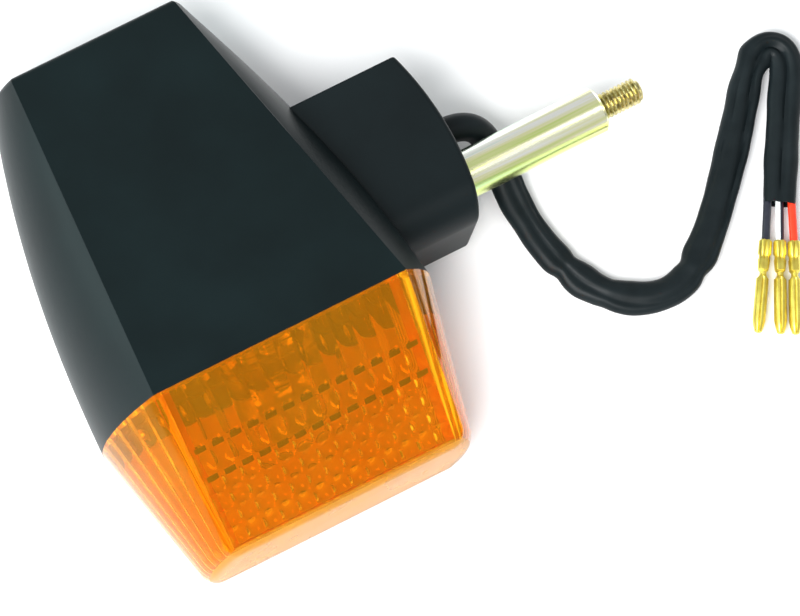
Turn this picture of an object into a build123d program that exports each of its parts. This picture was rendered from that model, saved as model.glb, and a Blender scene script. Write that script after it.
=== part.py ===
"""Motorcycle turn signal: tapered lamp housing, amber lens, side arm, steel stem and flying lead.

Frame, in millimetres: +Z up from the flat underside that the lamp lies on, +X along the
mounting stem, and the lens faces -Y. The origin is on the underside, below the housing's middle.
"""
import os
from math import cos, pi, radians, sin, tan

from build123d import *

os.makedirs("parts", exist_ok=True)

# ---- Driving dimensions --------------------------------------------------------------

# Lamp body, measured along Y
JOINT_Y = -40.0          # plane where the lens meets the housing
BACK_Y = 42.4            # back of the housing
FRONT_Y = -76.0          # front of the lens
WALL = 2.4               # housing wall
LENS_WALL = 2.2

# Cross-section at the joint, at the back and at the lens front: half widths and heights
JOINT_SECTION = dict(base=35.0, side=41.2, top=31.8, low=-0.5, high=46.0)
BACK_SECTION = dict(base=17.2, side=23.2, top=20.6, low=-0.5, high=28.2)
FRONT_SECTION = dict(base=31.0, side=33.5, top=30.0, low=3.5, high=26.0)
SIDE_BULGE = 3.4         # how far the sides swell outwards halfway along the housing
BELLY = 0.42             # height of the widest point, as a share of the section's height

# Lens seat, front to back: tongue, gasket, reflector flange, ledge
SEAT_GAP = 0.25
TONGUE = 5.0
TONGUE_WALL = 1.8
GASKET = 1.2
FLANGE = 1.2
LEDGE = 1.6

# Bulb axis and socket
BULB_Z = 19.0
SOCKET_R = 7.75          # inside radius of the socket shell
SOCKET_WALL = 0.9
SOCKET_FRONT_Y = -29.0
SOCKET_BACK_Y = -2.0
BASE_R = 7.45            # bulb base
BASE_BACK_Y = -13.0
BASE_FRONT_Y = -31.5
GLASS_R = 12.5
BULB_TRAVEL = 2.5        # push needed to free the bayonet pins
BULB_TWIST = 20.0        # degrees

# Arm and stem
STEM_Y = -20.0
STEM_Z = 15.0
STEM_R = 5.5
STEM_TAIL_R = 4.0
STUD_R = 3.0
STEM_TAIL_X = 19.5
STEM_STEP_X = 46.0
STEM_SHOULDER_X = 97.0
STUD_TIP_X = 107.5
ARM_END_X = 61.2
ARM_FRONT_Y = -32.0
ARM_BACK_Y = 8.5
ARM_LOW_Z = 3.6
ARM_HIGH_Z = 28.0
SPIGOT_R = 9.0           # the arm's round spigot, which passes through the housing wall
SPIGOT_END_X = 32.5
SPIGOT_ROOT_X = 50.0     # well inside the arm, so that the spigot is part of it
SPIGOT_BORE_GAP = 0.2
BORE_START_X = 28.5      # where the cuts through the housing wall start, inside it
BEYOND_ARM_X = 70.0      # where the bores through the arm end, outside it

# Lead: where the sleeve leaves the arm, sleeve and wire sizes
LEAD_Y = -8.6
LEAD_Z = 13.0
SLEEVE_D = 6.4
WIRE_D = 1.9
WIRE_PITCH = 2.05       # between wires inside the lamp
WIRE_SPREAD = 2.5        # between wires where the sleeve ends
CRIMP_SPREAD = 3.2       # between terminals where they start
GROMMET_R = 5.0

MIDDLE_Y = (JOINT_Y + BACK_Y) / 2
LAMP_STATIONS = (JOINT_Y, MIDDLE_Y, BACK_Y)


# ---- Shared shapes -------------------------------------------------------------------

def cross_section(y, base, side, top, low, high, inset=0.0):
    """Flat base and top joined by bulged sides, on the plane across the lamp at y."""
    belly_z = low + BELLY * (high - low)
    with BuildSketch(Plane.XZ.offset(-y)) as outline:
        with BuildLine():
            floor = Line((inset - base, low + inset), (base - inset, low + inset))
            right = ThreePointArc(floor @ 1, (side - inset, belly_z), (top - inset, high - inset))
            roof = Line(right @ 1, (inset - top, high - inset))
            ThreePointArc(roof @ 1, (inset - side, belly_z), floor @ 0)
        make_face()
    return outline.sketch


def blend(start, end, share):
    """A cross-section's sizes part of the way from one section to another."""
    return {name: start[name] + share * (end[name] - start[name]) for name in start}


def housing_section(y, inset=0.0):
    share = (y - JOINT_Y) / (BACK_Y - JOINT_Y)
    sizes = blend(JOINT_SECTION, BACK_SECTION, share)
    sizes["side"] += SIDE_BULGE * (1 - (2 * share - 1) ** 2)
    return cross_section(y, **sizes, inset=inset)


def lens_section(y, inset=0.0):
    share = (y - JOINT_Y) / (FRONT_Y - JOINT_Y)
    return cross_section(y, **blend(JOINT_SECTION, FRONT_SECTION, share), inset=inset)


def seat_ring(front_y, back_y, outer, inner):
    """A ring that follows the inside of the housing, between two insets of its outline."""
    with BuildPart() as ring:
        loft(sections=[housing_section(y, outer) for y in (front_y, back_y)])
        loft(sections=[housing_section(y, inner) for y in (front_y, back_y)], mode=Mode.SUBTRACT)
    return ring.part


def cylinder_y(radius, front_y, back_y, x=0.0, z=BULB_Z):
    """A plain cylinder along Y."""
    with BuildPart() as rod:
        with BuildSketch(Plane.XZ.offset(-front_y)):
            with Locations((x, z)):
                Circle(radius)
        extrude(amount=front_y - back_y)
    return rod.part


def cylinder_x(radius, start_x, end_x, y=STEM_Y, z=STEM_Z):
    """A plain cylinder along X."""
    with BuildPart() as rod:
        with BuildSketch(Plane.YZ.offset(start_x)):
            with Locations((y, z)):
                Circle(radius)
        extrude(amount=end_x - start_x)
    return rod.part


tongue_back_y = JOINT_Y + TONGUE
gasket_back_y = tongue_back_y + GASKET
flange_back_y = gasket_back_y + FLANGE
seat_inset = WALL + SEAT_GAP

# Lens screws, driven up through the underside into tabs on the lens tongue
SCREW_X = (-20.0, 20.0)
SCREW_Y = JOINT_Y + 2.7
SCREW_R = 1.3
SCREW_HEAD_R = 2.5
SCREW_SUNK = 0.4         # how far the head sits below the underside
SCREW_LENGTH = 8.0
TAB_WIDTH = 8.0
TAB_HEIGHT = 9.0

# ---- Housing -------------------------------------------------------------------------

# the outline starts just below the underside, and is cut off level there
with BuildPart() as housing_form:
    loft(sections=[housing_section(y) for y in LAMP_STATIONS])
    split(bisect_by=Plane.XY, keep=Keep.TOP)
housing_solid = housing_form.part

with BuildPart() as housing:
    add(housing_solid)
    fillet(housing.faces().sort_by(Axis.Y)[-1].edges(), 1.6)
    hollow_stations = (JOINT_Y, MIDDLE_Y, BACK_Y - WALL)
    loft(sections=[housing_section(y, WALL) for y in hollow_stations], mode=Mode.SUBTRACT)
    add(seat_ring(flange_back_y, flange_back_y + LEDGE, WALL - 0.6, WALL + 1.4))
    add(cylinder_x(SPIGOT_R + SPIGOT_BORE_GAP, BORE_START_X, SPIGOT_ROOT_X), mode=Mode.SUBTRACT)
    add(cylinder_x(GROMMET_R, BORE_START_X, SPIGOT_ROOT_X, LEAD_Y, LEAD_Z), mode=Mode.SUBTRACT)
    with Locations(*[Location((x, SCREW_Y, 0), (180, 0, 0)) for x in SCREW_X]):
        CounterSinkHole(SCREW_R + 0.1, SCREW_HEAD_R + SCREW_SUNK, depth=WALL + 1, counter_sink_angle=90)
housing.part.label = "housing"

# ---- Lens ----------------------------------------------------------------------------

with BuildPart() as lens:
    loft(sections=[lens_section(y) for y in (JOINT_Y, FRONT_Y)])
    fillet(lens.faces().sort_by(Axis.Y)[0].edges(), 3.0)
    split(bisect_by=Plane.XY, keep=Keep.TOP)
    hollow_front = FRONT_Y + LENS_WALL
    loft(sections=[lens_section(y, LENS_WALL) for y in (JOINT_Y, hollow_front)], mode=Mode.SUBTRACT)
    add(seat_ring(JOINT_Y, tongue_back_y, seat_inset, seat_inset + TONGUE_WALL))
    add(seat_ring(JOINT_Y - 0.8, JOINT_Y, LENS_WALL - 0.6, seat_inset + TONGUE_WALL))
    tab_low = seat_inset + 0.2
    tab_centre = ((JOINT_Y + tongue_back_y) / 2, tab_low + TAB_HEIGHT / 2)
    with Locations(*[(x, *tab_centre) for x in SCREW_X]):
        Box(TAB_WIDTH, TONGUE, TAB_HEIGHT)
    with Locations(*[(x, SCREW_Y, SCREW_LENGTH / 2 + SCREW_SUNK) for x in SCREW_X]):
        Cylinder(SCREW_R, SCREW_LENGTH, mode=Mode.SUBTRACT)
lens.part.label = "lens"

with BuildPart() as lens_gasket:
    add(seat_ring(tongue_back_y, gasket_back_y, seat_inset, seat_inset + 3.0))
lens_gasket.part.label = "lens_gasket"

# One countersunk screw on each side of the underside
with BuildPart() as lens_screws:
    with BuildSketch(Plane.XZ.offset(-SCREW_Y)):
        with BuildLine():
            Polyline((0, SCREW_SUNK), (SCREW_HEAD_R, SCREW_SUNK),
                     (SCREW_R, SCREW_SUNK + SCREW_HEAD_R - SCREW_R),
                     (SCREW_R, SCREW_LENGTH - 0.8), (0.3, SCREW_LENGTH), (0, SCREW_LENGTH), close=True)
        make_face()
    revolve(axis=Axis((0, SCREW_Y, 0), (0, 0, 1)))
screw = lens_screws.part
lens_screws.part = Compound([screw.moved(Location((x, 0, 0))) for x in SCREW_X])
lens_screws.part.label = "lens_screws"

# ---- Reflector -----------------------------------------------------------------------

BOWL_MOUTH_R = 13.6
BOWL_NECK_R = SOCKET_R + SOCKET_WALL
BOWL_BACK_Y = -23.0
with BuildPart() as reflector:
    loft(sections=[housing_section(y, seat_inset) for y in (gasket_back_y, flange_back_y)])
    add(cylinder_y(BOWL_MOUTH_R, gasket_back_y, flange_back_y), mode=Mode.SUBTRACT)
    with BuildSketch(Plane.XY.offset(BULB_Z)):
        with BuildLine():
            Polyline((BOWL_MOUTH_R, gasket_back_y), (BOWL_MOUTH_R + 1.2, gasket_back_y),
                     (BOWL_NECK_R + 1.6, BOWL_BACK_Y), (BOWL_NECK_R, BOWL_BACK_Y),
                     (BOWL_NECK_R, BOWL_BACK_Y - 1.4), close=True)
        make_face()
    revolve(axis=Axis((0, 0, BULB_Z), (0, 1, 0)))
reflector.part.label = "reflector"

# ---- Socket --------------------------------------------------------------------------

PIN_R = 0.9
PIN_REACH = SOCKET_R + SOCKET_WALL - 0.05
PIN_ROOM = PIN_R + 0.35
SLOT_MARGIN = 9.0        # degrees of slot beyond the pin's centre at each end of the twist
LEFT_PIN_Y = -22.0
RIGHT_PIN_Y = -25.0
BULB_AXIS = Axis((0, 0, BULB_Z), (0, 1, 0))

with BuildPart() as socket_shell:
    add(cylinder_y(SOCKET_R + SOCKET_WALL, SOCKET_FRONT_Y, SOCKET_BACK_Y))
    add(cylinder_y(SOCKET_R, SOCKET_FRONT_Y, SOCKET_BACK_Y - SOCKET_WALL), mode=Mode.SUBTRACT)
    # a bayonet slot for each pin: an entry from the front, then room to push and to turn
    for pin_angle, pin_y in ((180, LEFT_PIN_Y), (0, RIGHT_PIN_Y)):
        slot_start = Plane((0, 0, BULB_Z)).rotated((0, pin_angle - SLOT_MARGIN, 0))
        with BuildSketch(slot_start):
            with Locations((SOCKET_R, pin_y + BULB_TRAVEL / 2)):
                Rectangle(4, BULB_TRAVEL + 2 * PIN_ROOM)
        revolve(axis=BULB_AXIS, revolution_arc=BULB_TWIST + 2 * SLOT_MARGIN, mode=Mode.SUBTRACT)
        slot_entry = Plane((0, 0, BULB_Z)).rotated((0, pin_angle + BULB_TWIST, 0))
        entry_length = pin_y - SOCKET_FRONT_Y + 2
        with BuildSketch(slot_entry):
            with Locations((SOCKET_R, pin_y - entry_length / 2)):
                Rectangle(4, entry_length)
        extrude(amount=PIN_ROOM, both=True, mode=Mode.SUBTRACT)
socket_shell.part.label = "socket_shell"

CONTACT_X = 3.4
PLATE_FRONT_Y = BASE_BACK_Y + 1.2
PLATE_THICK = 1.4
PLATE_R = SOCKET_R - 0.3
with BuildPart() as contact_plate:
    add(cylinder_y(PLATE_R, PLATE_FRONT_Y, PLATE_FRONT_Y + PLATE_THICK))
    for x in (-CONTACT_X, CONTACT_X):
        add(cylinder_y(1.0, PLATE_FRONT_Y, PLATE_FRONT_Y + PLATE_THICK, x), mode=Mode.SUBTRACT)
contact_plate.part.label = "contact_plate"

# Two rivets through the insulating plate, with a domed head towards the bulb
with BuildPart() as contact_pins:
    for x in (-CONTACT_X, CONTACT_X):
        add(cylinder_y(1.0, PLATE_FRONT_Y - 0.6, PLATE_FRONT_Y + PLATE_THICK + 1.0, x))
        add(cylinder_y(1.7, PLATE_FRONT_Y - 0.6, PLATE_FRONT_Y, x))
contact_pins.part.label = "contact_pins"

SPRING_R = 5.6
SPRING_WIRE = 0.7
SPRING_TURNS = 3
spring_front = PLATE_FRONT_Y + PLATE_THICK
spring_back = SOCKET_BACK_Y - SOCKET_WALL
spring_height = spring_back - spring_front - SPRING_WIRE
with BuildPart() as contact_spring:
    with BuildLine():
        coil = Helix(spring_height / SPRING_TURNS, spring_height, SPRING_R,
                     center=(0, spring_front + SPRING_WIRE / 2, BULB_Z), direction=(0, 1, 0))
    with BuildSketch(Plane(coil @ 0, z_dir=coil % 0)):
        Circle(SPRING_WIRE / 2)
    sweep(path=coil, is_frenet=True)
contact_spring.part.label = "contact_spring"

# ---- Bulb ----------------------------------------------------------------------------

BASE_WALL = 0.6
NECK_R = BASE_R - BASE_WALL
with BuildPart() as bulb_base:
    add(cylinder_y(BASE_R, BASE_FRONT_Y, BASE_BACK_Y))
    add(cylinder_y(NECK_R, BASE_FRONT_Y, BASE_BACK_Y), mode=Mode.SUBTRACT)
    for side, pin_y in ((-1, LEFT_PIN_Y), (1, RIGHT_PIN_Y)):
        add(cylinder_x(PIN_R, side * (NECK_R + 0.1), side * PIN_REACH, pin_y, BULB_Z))
bulb_base.part.label = "bulb_base"

with BuildPart() as bulb_insulator:
    add(cylinder_y(NECK_R, BASE_BACK_Y - 2.4, BASE_BACK_Y))
bulb_insulator.part.label = "bulb_insulator"

with BuildPart() as bulb_contacts:
    for x in (-CONTACT_X, CONTACT_X):
        add(cylinder_y(1.9, BASE_BACK_Y, PLATE_FRONT_Y - 0.6, x))
bulb_contacts.part.label = "bulb_contacts"

GLASS_CENTRE_Y = -45.5
GLASS_WALL = 0.7
SHOULDER_TILT = radians(40)   # where the glass ball meets its neck, behind its widest point
CROWN_TILT = radians(25)      # a point on the ball in front of its widest point
neck_y = BASE_FRONT_Y - 2.0
glass_foot_y = BASE_FRONT_Y + 5.0
with BuildPart() as bulb_glass:
    for inset in (0, GLASS_WALL):
        ball_r = GLASS_R - inset
        neck_r = NECK_R - inset
        with BuildSketch(Plane.XY.offset(BULB_Z)):
            with BuildLine():
                foot = Line((0, glass_foot_y), (neck_r, glass_foot_y))
                neck = Line(foot @ 1, (neck_r, neck_y))
                shoulder = (ball_r * cos(SHOULDER_TILT), GLASS_CENTRE_Y + ball_r * sin(SHOULDER_TILT))
                crown = (ball_r * cos(CROWN_TILT), GLASS_CENTRE_Y - ball_r * sin(CROWN_TILT))
                flare = Line(neck @ 1, shoulder)
                ball = ThreePointArc(flare @ 1, crown, (0, GLASS_CENTRE_Y - ball_r))
                Line(ball @ 1, foot @ 0)
            make_face()
        revolve(axis=BULB_AXIS, mode=Mode.ADD if inset == 0 else Mode.SUBTRACT)
bulb_glass.part.label = "bulb_glass"

FILAMENT_R = 0.5
FILAMENT_REACH = 2.05    # half a filament's length
MAIN_RISE = 1.2          # the main filament above the bulb's axis
SIDE_FALL = -1.6         # the side-light filament below it
POST_R = 0.35
POST_X = 2.4
MAIN_Y = GLASS_CENTRE_Y
SIDE_Y = GLASS_CENTRE_Y + 4.0
PINCH_FRONT_Y = BASE_FRONT_Y - 3.0
with BuildPart() as filament_support:
    add(cylinder_y(3.0, PINCH_FRONT_Y, glass_foot_y))
    for rise, end_y in ((MAIN_RISE, MAIN_Y), (SIDE_FALL, SIDE_Y)):
        for x in (-POST_X, POST_X):
            add(cylinder_y(POST_R, end_y - FILAMENT_R, PINCH_FRONT_Y + 1.5, x, BULB_Z + rise))
filament_support.part.label = "filament_support"

with BuildPart() as filament_main:
    add(cylinder_x(FILAMENT_R, -FILAMENT_REACH, FILAMENT_REACH, MAIN_Y, BULB_Z + MAIN_RISE))
filament_main.part.label = "filament_main"

with BuildPart() as filament_side:
    add(cylinder_x(FILAMENT_R * 0.8, -FILAMENT_REACH, FILAMENT_REACH, SIDE_Y, BULB_Z + SIDE_FALL))
filament_side.part.label = "filament_side"

# ---- Arm and stem --------------------------------------------------------------------

ARM_CORNER = 8.0
ARM_CROWN = 2.6          # how far the end face swells outwards
ARM_ROOT_X = 26.0        # inside the housing, whose shape is cut away from the arm
CABLE_BORE_R = 3.6
GROMMET_SEAT_X = 54.0
with BuildPart() as arm:
    with BuildSketch(Plane.XY.offset(ARM_LOW_Z)):
        with BuildLine():
            front = Line((ARM_ROOT_X, ARM_FRONT_Y), (ARM_END_X - ARM_CROWN, ARM_FRONT_Y))
            crown = ThreePointArc(front @ 1, (ARM_END_X, STEM_Y + 2), (ARM_END_X - ARM_CROWN, ARM_BACK_Y))
            rear = Line(crown @ 1, (ARM_ROOT_X, ARM_BACK_Y))
            Line(rear @ 1, front @ 0)
        make_face()
    extrude(amount=ARM_HIGH_Z - ARM_LOW_Z)
    fillet(arm.edges().filter_by(Axis.X).group_by(Axis.Y)[0].sort_by(Axis.Z)[-1], ARM_CORNER)
    fillet(arm.faces().sort_by(Axis.X)[-1].edges(), 1.2)
    add(housing_solid, mode=Mode.SUBTRACT)
    add(cylinder_x(SPIGOT_R, SPIGOT_END_X, SPIGOT_ROOT_X))
    add(cylinder_x(STEM_R, STEM_STEP_X, BEYOND_ARM_X), mode=Mode.SUBTRACT)
    add(cylinder_x(STEM_TAIL_R, STEM_TAIL_X, BEYOND_ARM_X), mode=Mode.SUBTRACT)
    add(cylinder_x(CABLE_BORE_R, STEM_TAIL_X, BEYOND_ARM_X, LEAD_Y, LEAD_Z), mode=Mode.SUBTRACT)
    add(cylinder_x(GROMMET_R, GROMMET_SEAT_X, BEYOND_ARM_X, LEAD_Y, LEAD_Z), mode=Mode.SUBTRACT)
arm.part.label = "arm"

with BuildPart() as stem:
    with BuildSketch(Plane.XY.offset(STEM_Z)):
        with BuildLine():
            Polyline((STEM_TAIL_X, STEM_Y), (STEM_TAIL_X, STEM_Y + STEM_TAIL_R - 0.6),
                     (STEM_TAIL_X + 0.6, STEM_Y + STEM_TAIL_R), (STEM_STEP_X, STEM_Y + STEM_TAIL_R),
                     (STEM_STEP_X, STEM_Y + STEM_R), (STEM_SHOULDER_X - 0.5, STEM_Y + STEM_R),
                     (STEM_SHOULDER_X, STEM_Y + STEM_R - 0.5), (STEM_SHOULDER_X, STEM_Y + STUD_R),
                     (STUD_TIP_X - 0.8, STEM_Y + STUD_R), (STUD_TIP_X, STEM_Y + STUD_R - 0.8),
                     (STUD_TIP_X, STEM_Y), close=True)
        make_face()
    revolve(axis=Axis((0, STEM_Y, STEM_Z), (1, 0, 0)))
stem.part.label = "stem"

WASHER_R = 8.0
WASHER_THICK = 1.6
SPRING_WASHER_R = 6.7
SPRING_WASHER_THICK = 2.0
NUT_FLATS = 13.0
NUT_THICK = 6.5
washer_x = SPIGOT_END_X - WASHER_THICK
spring_washer_x = washer_x - SPRING_WASHER_THICK
nut_x = spring_washer_x - NUT_THICK

with BuildPart() as stem_washer:
    add(cylinder_x(WASHER_R, washer_x, SPIGOT_END_X))
    add(cylinder_x(STEM_TAIL_R, washer_x, SPIGOT_END_X), mode=Mode.SUBTRACT)
stem_washer.part.label = "stem_washer"

with BuildPart() as stem_spring_washer:
    add(cylinder_x(SPRING_WASHER_R, spring_washer_x, washer_x))
    add(cylinder_x(STEM_TAIL_R, spring_washer_x, washer_x), mode=Mode.SUBTRACT)
    split_x = (spring_washer_x + washer_x) / 2
    with Locations((split_x, STEM_Y, STEM_Z + (STEM_TAIL_R + SPRING_WASHER_R) / 2)):
        Box(4, 0.8, 4, rotation=(0, 0, 20), mode=Mode.SUBTRACT)
stem_spring_washer.part.label = "stem_spring_washer"

with BuildPart() as stem_nut:
    with BuildSketch(Plane.YZ.offset(nut_x)):
        with Locations((STEM_Y, STEM_Z)):
            RegularPolygon(NUT_FLATS / 2, 6, major_radius=False)
            Circle(STEM_TAIL_R, mode=Mode.SUBTRACT)
    extrude(amount=NUT_THICK)
stem_nut.part.label = "stem_nut"

# ---- Lead ----------------------------------------------------------------------------

LEAD_START_X = 63.2
with BuildPart() as lead_grommet:
    add(cylinder_x(GROMMET_R, GROMMET_SEAT_X, LEAD_START_X, LEAD_Y, LEAD_Z))
lead_grommet.part.label = "lead_grommet"

# The sleeve's route: out of the arm, under the stem, round a wide bend on the floor,
# back up to a sharp fold, and down again to the wires
LYING_Z = SLEEVE_D / 2 + 0.1
LEAD_ROUTE = [
    (LEAD_START_X, LEAD_Y, LEAD_Z),
    (70.6, LEAD_Y, LEAD_Z),
    (74.0, -17.0, 5.6),
    (72.6, -27.5, LYING_Z),
    (74.0, -43.5, LYING_Z),
    (80.6, -57.2, LYING_Z),
    (94.0, -63.4, LYING_Z),
    (106.0, -57.0, LYING_Z),
    (123.5, -38.9, LYING_Z),
    (139.6, -19.6, LYING_Z),
    (146.4, -24.4, LYING_Z),
    (137.2, -37.4, LYING_Z),
    (126.2, -55.2, LYING_Z),
]


def bend_radii(route):
    """The largest arc that fits at each corner of a route."""
    points = [Vector(*point) for point in route]
    radii = []
    for before, corner, after in zip(points, points[1:], points[2:]):
        run_in = corner - before
        run_out = after - corner
        half_turn = radians(run_in.get_angle(run_out)) / 2
        radii.append(0.45 * min(run_in.length, run_out.length) / tan(half_turn))
    return radii


lead_radii = bend_radii(LEAD_ROUTE)
print("lead bend radii, mm:", [round(radius, 1) for radius in lead_radii])

with BuildPart() as wire_sleeve:
    with BuildLine() as sleeve_path:
        FilletPolyline(*LEAD_ROUTE, radius=lead_radii)
    with BuildSketch(Plane(sleeve_path.line @ 0, z_dir=sleeve_path.line % 0)):
        Circle(SLEEVE_D / 2)
    sweep()
wire_sleeve.part.label = "wire_sleeve"
sleeve_length = sum(edge.length for edge in sleeve_path.edges())
print("sleeve length, mm:", round(sleeve_length, 1))
tube_volume = sleeve_length * pi * SLEEVE_D ** 2 / 4
print("sleeve volume over section times length:", round(wire_sleeve.part.volume / tube_volume, 4))

# Three wires leave the end of the sleeve, each ending in a bullet terminal
WIRE_LENGTH = 8.8
CRIMP_LENGTH = 7.8
CRIMP_R = 1.25
BARREL_LENGTH = 13.6
BARREL_R = 1.45
WIRE_FALL = 0.055        # how far the wires drop for each millimetre they run
lead_end = Vector(*LEAD_ROUTE[-1])
lead_heading = Vector(-0.49, -0.872, 0).normalized()
lead_side = lead_heading.cross(Vector(0, 0, 1)).normalized()
lead_fall = Vector(0, 0, -WIRE_FALL)

# colour, place across the sleeve, how far its terminal turns away from the others
WIRES = [("black", 1, 0.08), ("white", 0, -0.01), ("red", -1, -0.02)]
lead_parts = []
for colour, place, turn in WIRES:
    wire_start = lead_end + lead_side * (place * WIRE_SPREAD)
    crimp_start = lead_end + (lead_heading + lead_fall) * WIRE_LENGTH + lead_side * (place * CRIMP_SPREAD)
    wire_heading = (crimp_start - wire_start).normalized()
    crimp_heading = (lead_heading + lead_side * turn + lead_fall).normalized()
    crimp_plane = Plane(crimp_start, z_dir=crimp_heading)
    with BuildPart() as terminal:
        with BuildSketch(crimp_plane):
            Circle(CRIMP_R)
        extrude(amount=CRIMP_LENGTH)
        with BuildSketch(crimp_plane.offset(CRIMP_LENGTH)):
            Circle(BARREL_R)
        extrude(amount=BARREL_LENGTH)
        tip = terminal.faces().sort_by(Axis(crimp_start, crimp_heading))[-1]
        chamfer(tip.edges(), 1.6, 0.7)
    terminal.part.label = f"terminal_{colour}"
    with BuildPart() as wire:
        with BuildSketch(Plane(wire_start - wire_heading * 0.5, z_dir=wire_heading)):
            Circle(WIRE_D / 2)
        extrude(amount=(crimp_start - wire_start).length + 0.8)
        add(wire_sleeve.part, mode=Mode.SUBTRACT)
        add(terminal.part, mode=Mode.SUBTRACT)
    wire.part.label = f"wire_{colour}"
    lead_parts += [wire, terminal]
    terminal_end = crimp_start + crimp_heading * (CRIMP_LENGTH + BARREL_LENGTH)
    print(terminal.part.label, "from", crimp_start, "to", terminal_end)

# Inside the lamp the same three wires run from the back of the socket to the grommet
INNER_ROUTE = [(0, SOCKET_BACK_Y, BULB_Z), (0, 7, BULB_Z), (18, 10, 15),
               (31, LEAD_Y, LEAD_Z), (GROMMET_SEAT_X, LEAD_Y, LEAD_Z)]

with BuildPart() as inner_wires:
    for place in (-1, 0, 1):
        route = [Vector(*point) + Vector(0, 0, place * WIRE_PITCH) for point in INNER_ROUTE]
        with BuildLine() as inner_path:
            FilletPolyline(*route, radius=[3, 8, 6])
        with BuildSketch(Plane(inner_path.line @ 0, z_dir=inner_path.line % 0)):
            Circle(WIRE_D / 2)
        sweep(path=inner_path.line)
inner_wires.part.label = "inner_wires"

# ---- Write the parts -----------------------------------------------------------------

pieces = [housing, lens, lens_gasket, lens_screws, reflector, socket_shell, contact_plate,
          contact_pins, contact_spring, bulb_base, bulb_insulator, bulb_contacts, bulb_glass,
          filament_support, filament_main, filament_side, arm, stem, stem_washer,
          stem_spring_washer, stem_nut, lead_grommet, wire_sleeve, inner_wires, *lead_parts]
for piece in pieces:
    export_step(piece.part, f"parts/{piece.part.label}.step")
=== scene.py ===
"""Motorcycle turn signal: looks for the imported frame. Sizes are in millimetres until they reach Blender."""
import math

import bmesh
import bpy
from mathutils import Matrix, Vector


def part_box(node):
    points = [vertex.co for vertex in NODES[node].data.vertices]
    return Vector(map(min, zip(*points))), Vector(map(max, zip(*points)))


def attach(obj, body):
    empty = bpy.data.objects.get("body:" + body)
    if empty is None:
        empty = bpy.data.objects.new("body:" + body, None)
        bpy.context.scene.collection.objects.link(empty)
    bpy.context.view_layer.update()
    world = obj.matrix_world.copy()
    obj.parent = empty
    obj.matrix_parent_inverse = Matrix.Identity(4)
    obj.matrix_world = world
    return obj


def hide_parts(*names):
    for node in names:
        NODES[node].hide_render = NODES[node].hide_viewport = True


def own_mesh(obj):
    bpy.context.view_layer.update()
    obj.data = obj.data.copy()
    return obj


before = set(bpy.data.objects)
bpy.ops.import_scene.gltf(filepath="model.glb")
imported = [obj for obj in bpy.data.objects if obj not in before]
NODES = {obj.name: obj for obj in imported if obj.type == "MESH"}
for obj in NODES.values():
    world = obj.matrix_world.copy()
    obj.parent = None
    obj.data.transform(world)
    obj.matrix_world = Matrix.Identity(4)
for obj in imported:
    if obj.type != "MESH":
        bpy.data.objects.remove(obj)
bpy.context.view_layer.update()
MM = 0.001
TAU = 2 * math.pi


def mm(*values):
    """A point given in millimetres."""
    return Vector([value * MM for value in values])


# ---- Camera --------------------------------------------------------------------------

VIEW_TARGET = mm(29.9, -44.1, 32.1)
VIEW_BACK = Vector((-0.253, -0.203, 0.946)).normalized()     # from the target to the camera
VIEW_RIGHT = Vector((0.866, -0.484, 0.128))                  # nearly square to it
VIEW_DISTANCE = 2.671    # metres
VIEW_WIDTH = 175.9015    # how wide the view is at the target
SENSOR = 36.0
CLIP_END = 20            # metres


def add_camera():
    right = (VIEW_RIGHT - VIEW_BACK * VIEW_RIGHT.dot(VIEW_BACK)).normalized()
    up = VIEW_BACK.cross(right)
    data = bpy.data.cameras.new("camera")
    data.sensor_width = SENSOR
    data.lens = SENSOR * VIEW_DISTANCE / (VIEW_WIDTH * MM)
    data.clip_end = CLIP_END
    camera = bpy.data.objects.new("camera", data)
    turn = Matrix((right, up, VIEW_BACK)).transposed().to_4x4()
    camera.matrix_world = Matrix.Translation(VIEW_TARGET + VIEW_BACK * VIEW_DISTANCE) @ turn
    bpy.context.scene.collection.objects.link(camera)
    bpy.context.scene.camera = camera


add_camera()

# ---- Material helpers ----------------------------------------------------------------


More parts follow.
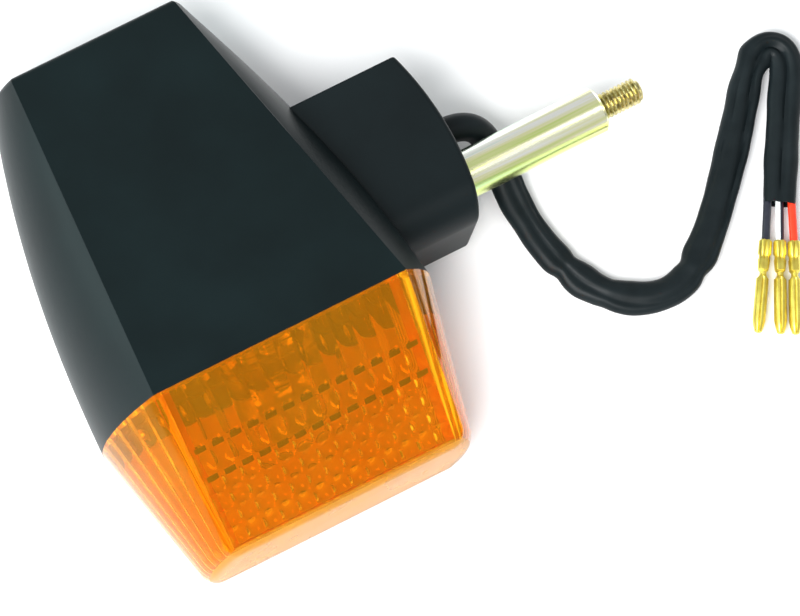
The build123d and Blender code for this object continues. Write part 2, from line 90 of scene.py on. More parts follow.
class Paint:
    """A material with its Principled shader, and short ways to add nodes to it."""

    def __init__(self, name, colour, roughness, metallic=0.0, **sockets):
        self.material = bpy.data.materials.new(name)
        self.material.use_nodes = True
        self.tree = self.material.node_tree
        self.shader = self.tree.nodes["Principled BSDF"]
        self.set("Base Color", (*colour, 1))
        self.set("Roughness", roughness)
        self.set("Metallic", metallic)
        for socket, value in sockets.items():
            self.set(socket.replace("_", " "), value)

    def set(self, socket, value):
        self.shader.inputs[socket].default_value = value

    def node(self, kind, **sockets):
        """A new node. Sockets are named with underscores for their spaces."""
        node = self.tree.nodes.new(kind)
        for socket, value in sockets.items():
            node.inputs[socket.replace("_", " ")].default_value = value
        return node

    def link(self, start, end):
        self.tree.links.new(start, end)

    def drive(self, socket, output):
        """Links a node's output to one of the shader's sockets."""
        self.link(output, self.shader.inputs[socket])

    def place(self):
        return self.node("ShaderNodeTexCoord").outputs["Object"]

    def noise(self, scale, detail=3.0, roughness=0.5, vector=None):
        node = self.node("ShaderNodeTexNoise", Scale=scale, Detail=detail, Roughness=roughness)
        self.link(vector or self.place(), node.inputs["Vector"])
        return node.outputs["Fac"]

    def stretched(self, factors):
        """The object's coordinates with each axis scaled, for streaks."""
        node = self.node("ShaderNodeMapping", Scale=factors)
        self.link(self.place(), node.inputs["Vector"])
        return node.outputs["Vector"]

    def ramp(self, fac, stops):
        node = self.node("ShaderNodeValToRGB")
        elements = node.color_ramp.elements
        while len(elements) < len(stops):
            elements.new(0.5)
        for element, (position, colour) in zip(elements, stops):
            element.position = position
            element.color = (*colour, 1)
        self.link(fac, node.inputs["Fac"])
        return node.outputs["Color"]

    def span(self, fac, low, high):
        """A 0 to 1 value spread over low to high."""
        node = self.node("ShaderNodeMapRange", To_Min=low, To_Max=high)
        self.link(fac, node.inputs["Value"])
        return node.outputs["Result"]

    def bump(self, height, depth):
        """Relief of a depth in millimetres, from a 0 to 1 height."""
        node = self.node("ShaderNodeBump", Strength=1.0, Distance=depth * MM)
        self.link(height, node.inputs["Height"])
        self.drive("Normal", node.outputs["Normal"])


def moulded_plastic(name, colour, roughness, grain_mm, depth_mm):
    """Matte moulding: a fine grain, and patches that are slightly lighter and rougher."""
    paint = Paint(name, colour, roughness)
    paint.set("Specular IOR Level", 0.16)
    patches = paint.noise(45, 4)
    lighter = tuple(channel * 1.25 for channel in colour)
    darker = tuple(channel * 0.85 for channel in colour)
    paint.drive("Base Color", paint.ramp(patches, [(0.3, darker), (0.7, lighter)]))
    paint.drive("Roughness", paint.span(patches, roughness - 0.05, roughness + 0.07))
    paint.bump(paint.noise(1 / (grain_mm * MM), 2), depth_mm)
    return paint.material


HOUSING = moulded_plastic("housing_plastic", (0.0022, 0.0065, 0.0072), 0.4, 0.35, 0.012)
RUBBER = moulded_plastic("arm_rubber", (0.0028, 0.0062, 0.0072), 0.44, 0.5, 0.012)
SEAL = moulded_plastic("seal_rubber", (0.02, 0.021, 0.022), 0.6, 0.4, 0.02)


def sleeve_vinyl():
    """Soft extruded vinyl: satin, with a fine grain and a faint bloom."""
    paint = Paint("sleeve_vinyl", (0.006, 0.010, 0.012), 0.42, Specular_IOR_Level=0.14)
    bloom = paint.noise(120, 5, 0.6)
    colours = [(0.25, (0.004, 0.007, 0.008)), (0.75, (0.009, 0.014, 0.016))]
    paint.drive("Base Color", paint.ramp(bloom, colours))
    paint.drive("Roughness", paint.span(bloom, 0.36, 0.52))
    paint.bump(paint.noise(900, 3), 0.02)
    return paint.material


def wire_vinyl(name, colour):
    paint = Paint(name, colour, 0.3)
    lighter = tuple(min(1, channel * 1.2 + 0.004) for channel in colour)
    paint.drive("Base Color", paint.ramp(paint.noise(700, 2), [(0.35, colour), (0.7, lighter)]))
    paint.bump(paint.noise(1500, 2), 0.008)
    return paint.material


def plated_steel():
    """Yellow-zinc plating on turned steel: streaks along the bar, partly the plating's iridescence and partly
    painted reflection, and fine tool marks round it.
    """
    paint = Paint("plated_steel", (0.85, 0.8, 0.5), 0.24, 1.0)
    iridescence_and_reflection = paint.noise(1.0, 3, 0.55, paint.stretched((9, 330, 330)))
    # Painted highlight: the near-white stop stands for the studio's reflection along the bar; the other stops
    # are the plating's own iridescent colours.
    colours = [(0.28, (0.46, 0.68, 0.34)), (0.38, (0.66, 0.80, 0.26)), (0.47, (0.88, 0.88, 0.50)),
               (0.56, (0.97, 0.97, 0.90)), (0.68, (0.64, 0.86, 0.64)), (0.85, (0.80, 0.66, 0.64))]
    paint.drive("Base Color", paint.ramp(iridescence_and_reflection, colours))
    paint.bump(paint.noise(1.0, 2, 0.5, paint.stretched((2600, 60, 60))), 0.006)
    return paint.material


def bright_steel():
    paint = Paint("bright_steel", (0.62, 0.63, 0.64), 0.3, 1.0)
    paint.drive("Roughness", paint.span(paint.noise(300, 4), 0.22, 0.42))
    paint.bump(paint.noise(1600, 2), 0.006)
    return paint.material


def brass(name, colour, roughness):
    """Stamped brass: slightly uneven in colour, with handling marks."""
    paint = Paint(name, colour, roughness, 1.0)
    darker = (colour[0] * 0.82, colour[1] * 0.74, colour[2] * 0.6)
    paint.drive("Base Color", paint.ramp(paint.noise(420, 5, 0.6), [(0.3, darker), (0.62, colour)]))
    paint.bump(paint.noise(1100, 3), 0.012)
    return paint.material


def reflector_silver():
    paint = Paint("reflector_silver", (0.86, 0.86, 0.85), 0.16, 1.0)
    paint.drive("Roughness", paint.span(paint.noise(260, 4), 0.10, 0.26))
    paint.bump(paint.noise(500, 2), 0.01)
    return paint.material


def insulator_board():
    paint = Paint("insulator_board", (0.20, 0.10, 0.045), 0.55)
    layers = paint.noise(1.0, 4, 0.6, paint.stretched((250, 250, 900)))
    paint.drive("Base Color", paint.ramp(layers, [(0.3, (0.15, 0.07, 0.03)), (0.7, (0.27, 0.14, 0.06))]))
    paint.bump(paint.noise(900, 2), 0.01)
    return paint.material


def black_glass():
    paint = Paint("black_glass", (0.012, 0.012, 0.02), 0.12)
    paint.bump(paint.noise(400, 2), 0.01)
    return paint.material


def clear_glass():
    paint = Paint("bulb_glass_clear", (0.97, 0.98, 0.98), 0.01, Transmission_Weight=1.0, IOR=1.45)
    paint.bump(paint.noise(90, 1), 0.01)
    return paint.material


def tungsten():
    paint = Paint("tungsten", (0.22, 0.22, 0.23), 0.4, 1.0)
    paint.bump(paint.noise(3000, 2), 0.01)
    return paint.material


def amber_plastic(name, low, high, roughness, transmission, index=1.49):
    """Amber acrylic with faint flow marks, whose tint lies between the two colours."""
    paint = Paint(name, high, roughness, Transmission_Weight=transmission, IOR=index,
                  Specular_Tint=(1.0, 0.55, 0.08, 1))
    flow = paint.noise(60, 3)
    paint.drive("Base Color", paint.ramp(flow, [(0.3, low), (0.7, high)]))
    paint.drive("Roughness", paint.span(flow, roughness * 0.6, roughness * 1.3))
    paint.bump(paint.noise(220, 2), 0.01)
    return paint.material


def plated_thread():
    """The rolled thread: the same plating, darker and speckled."""
    paint = Paint("plated_thread", (0.6, 0.5, 0.25), 0.3, 1.0)
    speckle = paint.noise(700, 5, 0.65)
    colours = [(0.30, (0.20, 0.14, 0.09)), (0.45, (0.45, 0.40, 0.16)), (0.58, (0.72, 0.62, 0.30)),
               (0.72, (0.50, 0.58, 0.34))]
    paint.drive("Base Color", paint.ramp(speckle, colours))
    paint.bump(speckle, 0.02)
    return paint.material


SLEEVE = sleeve_vinyl()
WIRE_BLACK = wire_vinyl("wire_black", (0.012, 0.014, 0.024))
WIRE_WHITE = wire_vinyl("wire_white", (0.80, 0.84, 0.83))
WIRE_RED = wire_vinyl("wire_red", (0.78, 0.035, 0.008))
PLATED = plated_steel()
STEEL = bright_steel()
TERMINAL = brass("terminal_brass", (0.84, 0.72, 0.15), 0.4)
BASE_BRASS = brass("base_brass", (0.80, 0.62, 0.30), 0.25)
SILVER = reflector_silver()
BOARD = insulator_board()
VITRITE = black_glass()
GLASS = clear_glass()
TUNGSTEN = tungsten()
THREAD = plated_thread()
AMBER = amber_plastic("lens_amber", (1.0, 0.375, 0.006), (1.0, 0.45, 0.014), 0.05, 0.88)
AMBER_FROSTED = amber_plastic("lens_amber_frosted", (1.0, 0.47, 0.01), (1.0, 0.57, 0.03), 0.4, 0.78)
# Painted shade: a near-black amber for the steep steps of the inner optics, which look dark.
AMBER_STEP_PAINTED_SHADE = amber_plastic("lens_amber_step_painted_shade", (0.015, 0.005, 0.002), (0.05, 0.018, 0.004), 0.35, 0.15)
# Painted light: a paler, duller amber for the front round and front face, which light through the thin edge
# makes look pale.
AMBER_RIM_PAINTED_LIGHT = amber_plastic("lens_amber_rim_painted_light", (0.68, 0.31, 0.03), (0.78, 0.39, 0.05), 0.3, 0.6, 1.25)
# Painted shade: a deep red amber for the roof's inside corners and front edge, which look deeper in colour.
AMBER_CORNER_PAINTED_SHADE = amber_plastic("lens_amber_corner_painted_shade", (0.85, 0.05, 0.002), (1.0, 0.12, 0.004), 0.25, 0.6)


def finish_nodes(material, *names):
    """Gives CAD nodes a material."""
    for name in names:
        mesh = NODES[name].data
        mesh.materials.clear()
        mesh.materials.append(material)


finish_nodes(HOUSING, "housing")
finish_nodes(RUBBER, "arm")
finish_nodes(SEAL, "lens_gasket", "lead_grommet")
finish_nodes(STEEL, "lens_screws", "socket_shell", "stem_washer", "stem_spring_washer", "stem_nut")
finish_nodes(SILVER, "reflector", "bulb_contacts")
finish_nodes(BOARD, "contact_plate")
finish_nodes(BASE_BRASS, "contact_pins", "bulb_base")
finish_nodes(VITRITE, "bulb_insulator")
finish_nodes(GLASS, "bulb_glass", "filament_support")
finish_nodes(TUNGSTEN, "filament_main", "filament_side")
finish_nodes(WIRE_BLACK, "inner_wires")

# ---- Mesh helpers --------------------------------------------------------------------


def mesh_piece(name, points, faces, materials, body, nodes, smooth_angle=35, choose=None):
    """A closed mesh from points in millimetres, riding on a body and standing for CAD nodes.

    choose gives the number of a face's material from the face's number.
    """
    mesh = bpy.data.meshes.new(name)
    mesh.from_pydata([tuple(Vector(point) * MM) for point in points], [], faces)
    for material in materials:
        mesh.materials.append(material)
    if choose:
        for polygon in mesh.polygons:
            polygon.material_index = choose(polygon.index)
    work = bmesh.new()
    work.from_mesh(mesh)
    bmesh.ops.recalc_face_normals(work, faces=work.faces)
    work.to_mesh(mesh)
    work.free()
    piece = bpy.data.objects.new(name, mesh)
    bpy.context.scene.collection.objects.link(piece)
    mesh.shade_smooth()
    mesh.set_sharp_from_angle(angle=math.radians(smooth_angle))
    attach(piece, body)
    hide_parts(*nodes)
    return piece


def bridge(faces, first, second, count):
    """Quads between two rings of points that start at the given indices."""
    for i in range(count):
        after = (i + 1) % count
        faces.append((first + i, first + after, second + after, second + i))


# ---- Lens ----------------------------------------------------------------------------

JOINT_Y = -40.0
FRONT_Y = -76.0
# Half widths of the lens at its underside, belly and roof, and the heights of its underside and roof.
JOINT_SECTION = dict(base=35.0, side=41.2, top=31.8, low=0.0, high=46.0)
FRONT_SECTION = dict(base=31.0, side=33.5, top=30.0, low=3.5, high=26.0)
BELLY = 0.42             # share of the height at which the lens is widest
LENS_WALL = 2.2
FRONT_ROUND = 3.0
OUTSIDE_STEPS = 12
ROUND_STEPS = 8
RIM_PAINTED_LIGHT_START = 5            # the step of the front's round where the rim's painted light begins
INSIDE_STEPS = 72
PRISM_COLUMNS = 13
COLUMN_STEPS = 8
SIDE_FLUTES = 9
FLUTE_STEPS = 8
FLUTED_DEPTH = 12.5      # the roof is only fluted this far from the joint, and then has rows of pillows
FIRST_ROW = 6.2          # length of the first row of pillows
ROW_PITCH = 3.78         # and of each of the others
SIDE_FLUTE_RISE = 0.8
ROOF_FLUTE_RISE = 0.7
FIRST_ROW_RISE = 1.0
FIRST_ROW_BASE = 0.3
PILLOW_RISE = 1.15
PILLOW_BASE = 0.2
# How far along the lens the painted shade of each step reaches.
STEP_SHADE_HEIGHT = 0.9
STEP_SHADE_FACES = range(1, 6)     # the faces of each column that the painted shade of a step covers
CORNER_SHADE_FACES = 3         # faces each side of the roof's corners that are painted a deeper red, as shade
CREASE_SHADE_DEPTH = 0.8       # and the depth of the same painted shade along the roof's front edge
LENS_CLEAR, LENS_FROSTED, LENS_STEP_PAINTED_SHADE, LENS_RIM_PAINTED_LIGHT, LENS_CORNER_PAINTED_SHADE = range(5)
LENS_MATERIALS = [AMBER, AMBER_FROSTED, AMBER_STEP_PAINTED_SHADE, AMBER_RIM_PAINTED_LIGHT, AMBER_CORNER_PAINTED_SHADE]
ACROSS = PRISM_COLUMNS * COLUMN_STEPS
UPRIGHT = SIDE_FLUTES * FLUTE_STEPS
RING = 2 * (ACROSS + UPRIGHT)
ROOF = ACROSS + UPRIGHT      # the first point of the roof; the ring starts with the underside


def arc_points(start, middle, end, count):
    """Points on the circle through three points, without the last one."""
    (ax, az), (bx, bz), (cx, cz) = start, middle, end
    a, b, c = ax**2 + az**2, bx**2 + bz**2, cx**2 + cz**2
    twice_area = 2 * (ax * (bz - cz) + bx * (cz - az) + cx * (az - bz))
    centre_x = (a * (bz - cz) + b * (cz - az) + c * (az - bz)) / twice_area
    centre_z = (a * (cx - bx) + b * (ax - cx) + c * (bx - ax)) / twice_area
    radius = math.hypot(ax - centre_x, az - centre_z)
    first = math.atan2(az - centre_z, ax - centre_x)
    sweep = (math.atan2(cz - centre_z, cx - centre_x) - first + math.pi) % TAU - math.pi
    angles = [first + sweep * i / count for i in range(count)]
    return [(centre_x + radius * math.cos(angle), centre_z + radius * math.sin(angle)) for angle in angles]


def lens_outline(share, inset):
    """One ring round the lens, at a share of its depth: underside, inboard side, roof, outboard side."""
    size = {key: joint + share * (FRONT_SECTION[key] - joint) for key, joint in JOINT_SECTION.items()}
    low = size["low"] + inset
    high = size["high"] - inset
    base = size["base"] - inset
    top = size["top"] - inset
    side = size["side"] - inset
    belly = size["low"] + BELLY * (size["high"] - size["low"])
    ring = [(-base + 2 * base * i / ACROSS, low) for i in range(ACROSS)]
    ring += arc_points((base, low), (side, belly), (top, high), UPRIGHT)
    ring += [(top - 2 * top * i / ACROSS, high) for i in range(ACROSS)]
    ring += arc_points((-top, high), (-side, belly), (-base, low), UPRIGHT)
    return ring


def pillow(fraction):
    """A rounded rise from 0 at both ends to 1 half way."""
    return 1 - (2 * fraction - 1) ** 2


def on_roof(index):
    """Whether a point or face of a ring is on the roof of the lens."""
    return ROOF <= index < ROOF + ACROSS


def optics_rise(index, depth):
    """How far the moulded optics stand inwards at a point of a ring, at a depth in front of the joint."""
    if index < ACROSS:
        return 0
    if not on_roof(index):
        place = (index - ACROSS) % ROOF
        return SIDE_FLUTE_RISE * pillow(place % FLUTE_STEPS / FLUTE_STEPS)
    column = pillow(index % COLUMN_STEPS / COLUMN_STEPS)
    if depth < FLUTED_DEPTH:
        return ROOF_FLUTE_RISE * column
    if depth < FLUTED_DEPTH + FIRST_ROW:
        return FIRST_ROW_BASE + FIRST_ROW_RISE * column * pillow((depth - FLUTED_DEPTH) / FIRST_ROW)
    row = (depth - FLUTED_DEPTH - FIRST_ROW) / ROW_PITCH % 1
    return PILLOW_BASE + PILLOW_RISE * column * pillow(row)


def is_shaded_step(index, depth):
    """Whether a face is on a steep step, which is painted dark as shade. They are at both ends of the first
    row of pillows.
    """
    if not on_roof(index) or (index - ROOF) % COLUMN_STEPS not in STEP_SHADE_FACES:
        return False
    return any(row <= depth < row + STEP_SHADE_HEIGHT for row in (FLUTED_DEPTH, FLUTED_DEPTH + FIRST_ROW))


def inner_kind(index, depth, inner_depth):
    """The material of an inside face: frosted underside, painted shade on the steps, painted shade in the
    roof's corners and along its front edge, or clear.
    """
    if index < ACROSS:
        return LENS_FROSTED
    if is_shaded_step(index, depth):
        return LENS_STEP_PAINTED_SHADE
    # Painted shade: the roof's corners and its front edge are a deeper red.
    from_corner = min(abs(index - ROOF), abs(index - ROOF - ACROSS))
    if from_corner <= CORNER_SHADE_FACES or on_roof(index) and depth > inner_depth - CREASE_SHADE_DEPTH:
        return LENS_CORNER_PAINTED_SHADE
    return LENS_CLEAR


def inner_outline(depth, share):
    """One ring of the inside, with its optics."""
    outline = []
    for index, (x, z) in enumerate(lens_outline(share, LENS_WALL)):
        inwards = optics_rise(index, depth)
        if on_roof(index):
            z -= inwards
        else:
            x -= math.copysign(inwards, x)
        outline.append((x, z))
    return outline


def add_lens():
    """The hollow amber moulding, open at the joint."""
    depth = JOINT_Y - FRONT_Y
    inner_depth = depth - LENS_WALL
    points = []
    faces = []
    kinds = []

    def add_ring(outline, y):
        points.extend((x, y, z) for x, z in outline)

    def shell(kind):
        """Joins the last two rings, with a material chosen for each face."""
        bridge(faces, len(points) - 2 * RING, len(points) - RING, RING)
        kinds.extend(kind(i) for i in range(RING))

    # The outside runs from the joint to a rounded front edge.
    add_ring(lens_outline(0, 0), JOINT_Y)
    for i in range(1, OUTSIDE_STEPS + 1):
        share = i / OUTSIDE_STEPS * (depth - FRONT_ROUND) / depth
        add_ring(lens_outline(share, 0), JOINT_Y - share * depth)
        shell(lambda index: LENS_CLEAR)
    # Painted light: the front of the round and the front face get the paler rim amber.
    for i in range(1, ROUND_STEPS + 1):
        angle = math.pi / 2 * i / ROUND_STEPS
        y = FRONT_Y + FRONT_ROUND * (1 - math.sin(angle))
        add_ring(lens_outline((JOINT_Y - y) / depth, FRONT_ROUND * (1 - math.cos(angle))), y)
        shell(lambda index: LENS_RIM_PAINTED_LIGHT if i >= RIM_PAINTED_LIGHT_START else LENS_CLEAR)
    faces.append(tuple(range(len(points) - RING, len(points))))
    kinds.append(LENS_RIM_PAINTED_LIGHT)
    # The inside runs back from the front wall to the joint, with the optics on its roof and sides.
    first_inner = len(points)
    for i in range(INSIDE_STEPS + 1):
        inner = inner_depth * (1 - i / INSIDE_STEPS)
        add_ring(inner_outline(inner, inner / depth), JOINT_Y - inner)
        if i:
            shell(lambda index: inner_kind(index, inner, inner_depth))
    faces.append(tuple(range(first_inner, first_inner + RING)))
    kinds.append(LENS_FROSTED)
    bridge(faces, 0, len(points) - RING, RING)
    kinds.extend([LENS_CLEAR] * RING)
    mesh_piece("lens_moulding", points, faces, LENS_MATERIALS, "lamp", ["lens"], 30,
               kinds.__getitem__)


add_lens()

# ---- Stem ----------------------------------------------------------------------------

STEM_Y = -20.0
STEM_Z = 15.0
STEM_R = 5.5
TAIL_R = 4.0
TAIL_X = 19.5
BODY_X = 46.0
SHOULDER_X = 97.0
STUD_X = 107.5
STUD_R = 3.0
STEM_CHAMFER = 0.7
TAIL_CHAMFER = 0.6
THREAD_START = SHOULDER_X + 0.6
THREAD_PITCH = 1.0
THREAD_DEPTH = 0.55
THREAD_STEP = 0.1        # distance between the rings of the thread
THREAD_CREST = 1.25      # over 1, so that the crests are flat
TIP_R = 2.0
TIP_SLOPE = 1.1
ROUND = 64


def lathe(start, direction, profile, name, materials, nodes, shape=None, choose=None, sides=ROUND):
    """A closed turned piece round a line.

    profile has distances and radii, shape may change a radius by its angle, and choose gives the number of a
    face's material from the number of its ring.
    """
    axis = Vector(direction).normalized()
    side = axis.cross((0, 0, 1)).normalized()
    up = side.cross(axis)
    points = []
    faces = []
    for number, (along, radius) in enumerate(profile):
        for i in range(sides):
            angle = TAU * i / sides
            r = shape(along, radius, angle) if shape else radius
            out = side * math.cos(angle) + up * math.sin(angle)
            points.append(Vector(start) + axis * along + out * r)
        if number:
            bridge(faces, (number - 1) * sides, number * sides, sides)
    faces.append(tuple(range(sides)))
    faces.append(tuple(range(len(points) - sides, len(points))))
    kind = (lambda face: choose(min(face // sides, len(profile) - 2))) if choose else None
    return mesh_piece(name, points, faces, materials, "lamp", nodes, 32, kind)


def add_stem():
    """The plated stem, with a real helical thread rolled on its stud."""
    profile = [(TAIL_X, TAIL_R - TAIL_CHAMFER), (TAIL_X + TAIL_CHAMFER, TAIL_R), (BODY_X, TAIL_R),
               (BODY_X, STEM_R), (SHOULDER_X - STEM_CHAMFER, STEM_R), (SHOULDER_X, STEM_R - STEM_CHAMFER),
               (SHOULDER_X, STUD_R - THREAD_DEPTH)]
    relief = len(profile) - 1
    length = STUD_X - THREAD_START
    steps = int(length / THREAD_STEP)
    for i in range(steps + 1):
        x = THREAD_START + length * i / steps
        profile.append((x, min(STUD_R, TIP_R + (STUD_X - x) * TIP_SLOPE)))

    def thread(x, radius, angle):
        if x < THREAD_START:
            return radius
        turn = ((x - THREAD_START) / THREAD_PITCH - angle / TAU) % 1
        crest = 1 - abs(2 * turn - 1)
        return radius - THREAD_DEPTH * (1 - min(1, crest * THREAD_CREST)) * min(1, radius / STUD_R)

    lathe((0, STEM_Y, STEM_Z), (1, 0, 0), profile, "stem_turned", [PLATED, THREAD], ["stem"],
          thread, lambda ring: 1 if ring >= relief else 0)


add_stem()

# ---- Contact spring ------------------------------------------------------------------

SPRING_R = 5.6
SPRING_WIRE_R = 0.35
SPRING_TURNS = 3
SPRING_STEPS = 48        # rings in each turn
SPRING_SIDES = 12
BULB_Z = 19.0


def add_spring():
    """The coil behind the contact plate, built at one length. The real coil shortens as the bulb is pushed
    in.
    """
    low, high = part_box("contact_spring")
    front = low[1] / MM
    back = high[1] / MM
    rise = back - front - 2 * SPRING_WIRE_R
    steps = SPRING_TURNS * SPRING_STEPS
    points = []
    faces = []
    for number in range(steps + 1):
        turn = TAU * number / SPRING_STEPS
        out = Vector((math.cos(turn), 0, math.sin(turn)))
        y = front + SPRING_WIRE_R + rise * number / steps
        for i in range(SPRING_SIDES):
            angle = TAU * i / SPRING_SIDES
            place = out * (SPRING_R + SPRING_WIRE_R * math.cos(angle))
            points.append((place.x, y + SPRING_WIRE_R * math.sin(angle), BULB_Z + place.z))
        if number:
            bridge(faces, (number - 1) * SPRING_SIDES, number * SPRING_SIDES, SPRING_SIDES)
    faces.append(tuple(range(SPRING_SIDES)))
    faces.append(tuple(range(len(points) - SPRING_SIDES, len(points))))
    spring = mesh_piece("contact_spring_coil", points, faces, [STEEL], "lamp", ["contact_spring"])
    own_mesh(spring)


add_spring()

# ---- Lead ----------------------------------------------------------------------------

LYING_Z = 3.3            # height of the route where the lead lies on the floor
LEAD_ROUTE = [
    (63.2, -8.6, 13.0),
    (70.6, -8.6, 13.0),
    (74.0, -17.0, 5.6),
    (72.6, -27.5, LYING_Z),
    (74.0, -43.5, LYING_Z),
    (80.6, -57.2, LYING_Z),
    (94.0, -63.4, LYING_Z),
    (106.0, -57.0, LYING_Z),
    (123.5, -38.9, LYING_Z),
    (139.6, -19.6, LYING_Z),
    (146.4, -24.4, LYING_Z),
    (137.2, -37.4, LYING_Z),
    (126.2, -55.2, LYING_Z),
]


def route_points(places):
    """Points along the smooth NURBS line that the route controls, in metres."""
    curve = bpy.data.curves.new("lead_line", "CURVE")
    curve.dimensions = "3D"
    spline = curve.splines.new("NURBS")
    spline.points.add(len(places) - 1)
    for point, place in zip(spline.points, places):
        point.co = (*mm(*place), 1)
    spline.order_u = 3
    spline.use_endpoint_u = True
    spline.resolution_u = 24
    line = bpy.data.objects.new("lead_line", curve)
    bpy.context.scene.collection.objects.link(line)
    mesh = bpy.data.meshes.new_from_object(line)
    points = [vertex.co.copy() for vertex in mesh.vertices]
    bpy.data.objects.remove(line)
    bpy.data.meshes.remove(mesh)
    return points


SLEEVE_HALF_WIDTH = 3.75
SLEEVE_HALF_HEIGHT = 2.4
SLEEVE_EXIT_R = 3.2
SLEEVE_WALL = 0.5
SLEEVE_SIDES = 40
SHORTEST_STEP = 0.05     # points of the route that are closer than this are left out
FLATTENS = (6, 26)       # the distances along it where the round sleeve begins and ends to flatten
LANDS = (16, 34)         # and where it comes down to the floor
MOUTH_DEPTH = 7.0
FLOOR_GAP = 0.12
# Pinches and lumps where the soft tube has been folded: distance along it, spread, and share of its width.
SLEEVE_CREASES = [(34, 4, -0.05), (47, 1.6, -0.15), (52, 2.4, 0.09), (58, 1.5, -0.07), (63, 2.6, 0.07),
                  (72, 3, -0.05), (80, 1.6, -0.14), (84, 2.2, 0.08), (112, 5, 0.05), (129, 3.0, -0.12),
                  (133, 1.6, 0.10), (137, 2.4, -0.10), (152, 6, 0.05), (166, 4, 0.04)]


FOLD_DEPTH = 1.3         # the long fold along the top
FOLD_SPREAD = 0.22       # radians
FOLD_DEEPENS = (82, 96)  # where it goes from half its depth to the whole of it
SECOND_DEPTH = 0.7       # the fainter fold beside it
SECOND_SPREAD = 0.15
WRINKLE_DEPTH = 0.03
MOUTH_EASE = 6           # how far from the cut end the folds begin to get shallower


def hump(distance, spread):
    """A smooth rise to 1 where the distance is 0."""
    return math.exp(-(distance / spread) ** 2)


def ease(value, low, high):
    """A smooth step from 0 at low to 1 at high."""
    share = min(1, max(0, (value - low) / (high - low)))
    return share * share * (3 - 2 * share)


def sleeve_size(s):
    """The sleeve's half width and half height at a distance along it."""
    flat = ease(s, *FLATTENS)
    swell = 1 + flat * sum(share * hump(s - place, spread) for place, spread, share in SLEEVE_CREASES)
    swell += flat * (0.015 * math.sin(s * 0.31) + 0.008 * math.sin(s * 0.87 + 1))
    half_width = (SLEEVE_EXIT_R + flat * (SLEEVE_HALF_WIDTH - SLEEVE_EXIT_R)) * swell
    half_height = (SLEEVE_EXIT_R + flat * (SLEEVE_HALF_HEIGHT - SLEEVE_EXIT_R)) / (0.5 + 0.5 * swell)
    return half_width, half_height


def sleeve_dent(s, angle, whole):
    """How far the sleeve's skin is pressed in at a distance along it and an angle round it.

    The long fold wanders from side to side, and so does the second one. All of it starts where the sleeve
    flattens, and gets shallower at the cut end.
    """
    fold = 1.25 + 0.4 * math.sin(s * 0.045 + 0.6)
    second = 2.3 + 0.25 * math.sin(s * 0.09)
    dent = FOLD_DEPTH * hump(angle - fold, FOLD_SPREAD) * (0.5 + 0.5 * ease(s, *FOLD_DEEPENS))
    dent += SECOND_DEPTH * hump(angle - second, SECOND_SPREAD) * (0.55 + 0.45 * math.sin(s * 0.07))
    dent += WRINKLE_DEPTH * math.sin(s * 0.5 + 3 * math.sin(angle * 2)) * max(0, math.sin(angle))
    return dent * (ease(s, *FLATTENS) * (1 - 0.6 * ease(s, whole - MOUTH_EASE, whole)))


def add_sleeve(pieces):
    """The flattened vinyl sleeve: round at the grommet, creased along its length, and open at its cut end."""
    line = [point / MM for point in route_points(LEAD_ROUTE)]
    path = [line[0]]
    path += [point for before, point in zip(line, line[1:]) if (point - before).length > SHORTEST_STEP]
    travelled = [0.0]
    for before, after in zip(path, path[1:]):
        travelled.append(travelled[-1] + (after - before).length)
    whole = travelled[-1]

    def section(number, inset):
        s = travelled[number]
        ahead = (path[min(number + 1, len(path) - 1)] - path[max(number - 1, 0)]).normalized()
        side = ahead.cross((0, 0, 1)).normalized()
        up = side.cross(ahead)
        half_width, half_height = sleeve_size(s)
        centre = path[number].copy()
        centre.z += ease(s, *LANDS) * (half_height + FLOOR_GAP - LYING_Z)
        ring = []
        for i in range(SLEEVE_SIDES):
            angle = TAU * i / SLEEVE_SIDES
            rise = half_height - inset - sleeve_dent(s, angle, whole)
            ring.append(centre + side * math.cos(angle) * (half_width - inset) + up * math.sin(angle) * rise)
        return ring

    points = []
    faces = []
    for number in range(len(path)):
        points.extend(section(number, 0))
        if number:
            bridge(faces, (number - 1) * SLEEVE_SIDES, number * SLEEVE_SIDES, SLEEVE_SIDES)
    faces.append(tuple(range(SLEEVE_SIDES)))
    # The inside of the mouth runs back from the cut end, and ends in a flat face.
    for number in reversed(range(len(path))):
        if travelled[number] > whole - MOUTH_DEPTH:
            points.extend(section(number, SLEEVE_WALL))
            start = len(points) - 2 * SLEEVE_SIDES
            bridge(faces, start, start + SLEEVE_SIDES, SLEEVE_SIDES)
    faces.append(tuple(range(len(points) - SLEEVE_SIDES, len(points))))
    sleeve = mesh_piece("wire_sleeve_skin", points, faces, [SLEEVE], "lamp", ["wire_sleeve"],
                        50)


# ---- Wires and terminals -------------------------------------------------------------

WIRE_D = 1.9
WIRE_SIDES = 24
STRIPE_START = 6         # the sides of the white wire that its black stripe covers
STRIPE_END = 14
WIRE_RINGS = 8
WIRE_EDGE = 0.1          # chamfer at the hidden end
WIRE_OUT = 8.8           # from the sleeve's end to the terminals
WIRE_INSIDE = 5.0        # hidden in the sleeve
WIRE_IN_CRIMP = 2.6      # hidden in the terminal
MOUTH_DROP = Vector((0, 0, -0.6))        # the wires leave the sleeve below the route's end
MOUTH_PITCH = 2.5        # between wires at the sleeve's end
CRIMP_PITCH = 3.2        # and at the terminals
LEAD_HEADING = Vector((-0.49, -0.872, 0))
LEAD_SIDE = Vector((-0.872, 0.49, 0))
LEAD_FALL = Vector((0, 0, -0.055))       # for each millimetre that the wires run
# Place across the sleeve, colour, material, and how far the terminal turns to the side.
LEADS = [(1, "black", WIRE_BLACK, 0.08), (0, "white", WIRE_WHITE, -0.01), (-1, "red", WIRE_RED, -0.02)]
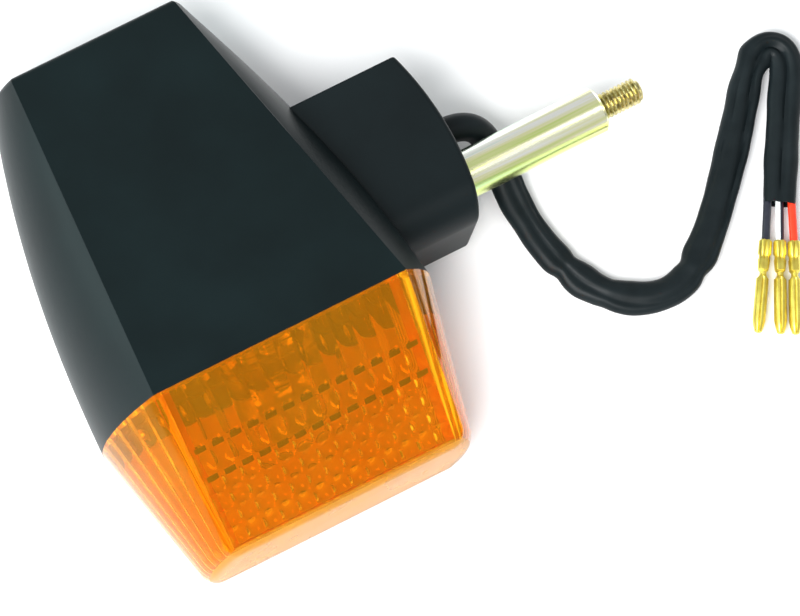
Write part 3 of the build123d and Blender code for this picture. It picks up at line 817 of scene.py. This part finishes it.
# Distance along the terminal and radius: insulation wings, conductor wings, neck, barrel and tip.
TERMINAL_PROFILE = [(0, 1.3), (0.3, 1.5), (3.2, 1.5), (3.6, 1.25), (4.3, 1.25), (4.6, 1.42), (6.9, 1.4),
                    (7.4, 0.9), (8.1, 0.9), (8.6, 1.2), (9.0, 1.42), (14.0, 1.45), (18.6, 1.45),
                    (19.9, 1.2), (20.9, 0.9), (21.2, 0.85), (21.4, 0.55)]


TERMINAL_SIDES = 48
WINGS_END = 6.5
BARREL_START = 8.6
WING_DENT = 0.4
WING_LIP = 0.08
SEAM_DEPTH = 0.35
NECK_FLATTENING = 0.15


def terminal_shape(along, radius, angle):
    """The wings curl in along the top, the neck is flattened, and the rolled barrel has a seam on top."""
    from_top = abs(math.atan2(math.sin(angle - math.pi / 2), math.cos(angle - math.pi / 2)))
    if along < WINGS_END:
        return radius - WING_DENT * hump(from_top, 0.22) + WING_LIP * hump(from_top - 0.5, 0.2)
    if along > BARREL_START:
        return radius - SEAM_DEPTH * hump(from_top, 0.14)
    return radius * (1 - NECK_FLATTENING * math.cos(2 * angle))


def add_wires():
    """Three leads out of the sleeve, each crimped into a bullet terminal."""
    end = Vector(LEAD_ROUTE[-1])
    pieces = []
    for place, name, material, turn in LEADS:
        mouth = end + LEAD_SIDE * (place * MOUTH_PITCH) + MOUTH_DROP
        crimp = end + (LEAD_HEADING + LEAD_FALL) * WIRE_OUT + LEAD_SIDE * (place * CRIMP_PITCH)
        start = mouth - LEAD_HEADING * WIRE_INSIDE
        run = crimp - start
        length = run.length + WIRE_IN_CRIMP
        profile = [(0, WIRE_D / 2 - WIRE_EDGE), (WIRE_EDGE, WIRE_D / 2)]
        profile += [(length * i / WIRE_RINGS, WIRE_D / 2) for i in range(1, WIRE_RINGS + 1)]
        wire = lathe(start, run, profile, "wire_%s_lead" % name, [material, WIRE_BLACK], ["wire_" + name],
                     sides=WIRE_SIDES)
        if name == "white":
            for polygon in wire.data.polygons:
                polygon.material_index = 1 if STRIPE_START <= polygon.index % WIRE_SIDES < STRIPE_END else 0
        heading = LEAD_HEADING + LEAD_SIDE * turn + LEAD_FALL
        terminal = lathe(crimp, heading, TERMINAL_PROFILE, "terminal_%s_bullet" % name, [TERMINAL],
                         ["terminal_" + name], terminal_shape, sides=TERMINAL_SIDES)
        pieces += [wire, terminal]
    return pieces


add_sleeve(add_wires())

# ---- Floor and light -----------------------------------------------------------------


def area_light(name, place, aim, size, power, colour=(1, 1, 1)):
    data = bpy.data.lights.new(name, "AREA")
    data.shape = "RECTANGLE"
    data.size, data.size_y = size
    data.energy = power
    data.color = colour
    light = bpy.data.objects.new(name, data)
    bpy.context.scene.collection.objects.link(light)
    light.location = place
    light.rotation_euler = (Vector(aim) - Vector(place)).to_track_quat("-Z", "Y").to_euler()


# Places, sizes and powers in this section are in metres and watts.
FLOOR_SIZE = 6
FLOOR_DROP = 0.0001      # keeps the floor clear of the lamp's flat underside
WORLD_COLOUR = (0.97, 0.985, 1, 1)
WORLD_STRENGTH = 0.66


def add_stage():
    bpy.ops.mesh.primitive_plane_add(size=FLOOR_SIZE, location=(0, 0, -FLOOR_DROP))
    floor = bpy.context.object
    floor.name = "floor"
    paint = Paint("floor_paper", (0.92, 0.925, 0.93), 0.8)
    paint.bump(paint.noise(300, 2), 0.02)
    floor.data.materials.append(paint.material)
    world = bpy.data.worlds.new("studio")
    bpy.context.scene.world = world
    world.use_nodes = True
    background = world.node_tree.nodes["Background"]
    background.inputs["Color"].default_value = WORLD_COLOUR
    background.inputs["Strength"].default_value = WORLD_STRENGTH
    area_light("overhead", (-0.5, -0.3, 0.8), aim=(0.03, -0.02, 0), size=(0.7, 0.5), power=18)
    area_light("back_left", (-0.6, 0.45, 0.25), aim=(-0.02, 0, 0.02), size=(0.5, 0.3), power=3,
               colour=(0.8, 1, 1))
    area_light("strip", (0.32, -0.27, 0.95), aim=(0.07, -0.02, 0.015), size=(0.5, 0.1), power=0.45)
    bpy.context.scene.view_settings.view_transform = "Standard"


add_stage()
